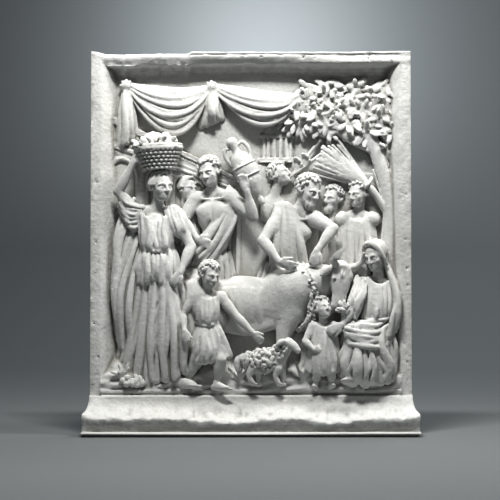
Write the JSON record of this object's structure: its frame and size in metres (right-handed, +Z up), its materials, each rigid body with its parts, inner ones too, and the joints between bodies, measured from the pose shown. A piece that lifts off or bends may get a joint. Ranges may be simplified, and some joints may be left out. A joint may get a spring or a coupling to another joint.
{
  "type": "relief plaque",
  "caption": "Upright cast plaster plaque: a rectangular framed field carved in high relief, on its own flared plinth, that stands on a shelf or is fixed against a wall.",
  "frame": {"origin": "on the underside of the plinth, under the middle of the overall box", "axes": "+Z up, +X to the right as the relief is seen, and the relief faces -Y, so the viewer looks along +Y"},
  "size_m": [0.3346, 0.0528, 0.385],
  "materials": {
    "plaster": null
  },
  "bodies": {
    "root": {"relief_plaque": "plaster"}
  },
  "joints": []
}
